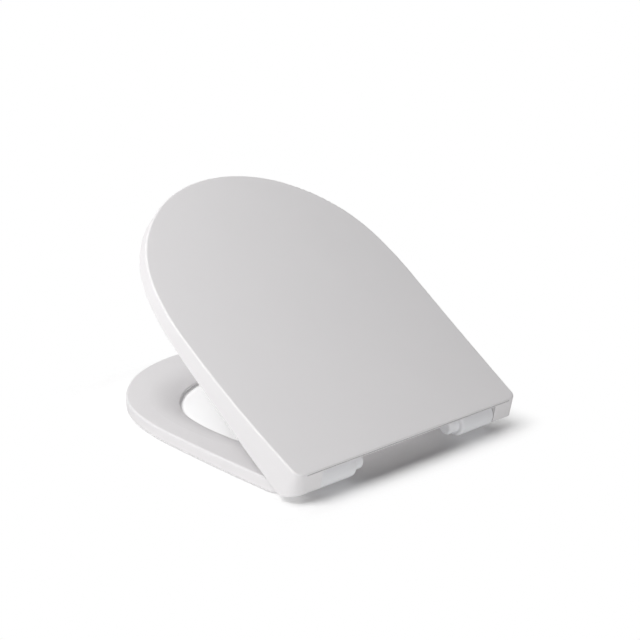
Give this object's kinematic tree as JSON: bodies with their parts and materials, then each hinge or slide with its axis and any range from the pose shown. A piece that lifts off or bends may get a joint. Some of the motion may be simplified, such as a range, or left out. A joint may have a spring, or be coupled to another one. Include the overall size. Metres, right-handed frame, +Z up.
{
  "type": "toilet seat",
  "caption": "D-shaped wrap-over toilet seat: a shallow lid that sweeps up to its hinge, a dished ring with an oval hole, soft-close hinge barrels and rubber buffers.",
  "frame": {"origin": "middle of the seat in plan with the lid as pictured, on the plane the ring's buffers stand on", "axes": "+X to the right seen from the front of the seat, +Y from the front towards the hinge, +Z up"},
  "size_m": [0.3742, 0.4423, 0.2721],
  "materials": {
    "lid_white": "satin white",
    "ring_white": "satin white",
    "hinge_white": "satin white",
    "buffer_rubber": "matt white",
    "damper_plastic": "matt black",
    "seal_rubber": "matt black",
    "rotor_plastic": "natural",
    "bush_plastic": "matt white"
  },
  "bodies": {
    "hinges": {"fixing_hub_left": "hinge_white", "fixing_hub_right": "hinge_white", "hinge_barrel_left": "hinge_white", "hinge_barrel_right": "hinge_white", "damper_cup_left": "damper_plastic", "damper_cup_right": "damper_plastic", "damper_cap_left": "damper_plastic", "damper_cap_right": "damper_plastic", "shaft_seal_left": "seal_rubber", "shaft_seal_right": "seal_rubber"},
    "ring": {"seat_ring": "ring_white", "ring_buffer_1": "buffer_rubber", "ring_buffer_2": "buffer_rubber", "ring_buffer_3": "buffer_rubber", "ring_buffer_4": "buffer_rubber", "ring_bush_left": "bush_plastic", "ring_bush_right": "bush_plastic", "damper_rotor_right": "rotor_plastic"},
    "lid": {"lid": "lid_white", "lid_buffer_left": "buffer_rubber", "lid_buffer_right": "buffer_rubber", "lid_bush_left": "bush_plastic", "lid_bush_right": "bush_plastic", "damper_rotor_left": "rotor_plastic"}
  },
  "joints": [
    {"name": "ring_lift", "type": "hinge", "parent": "hinges", "child": "ring", "pos_m": [0, 0.20204, 0.0208], "axis": [-1, 0, 0], "range_deg": [0, 95]},
    {"name": "lid_lift", "type": "hinge", "parent": "ring", "child": "lid", "pos_m": [0, 0.20204, 0.0208], "axis": [-1, 0, 0], "range_deg": [-35.5, 64.5]}
  ]
}
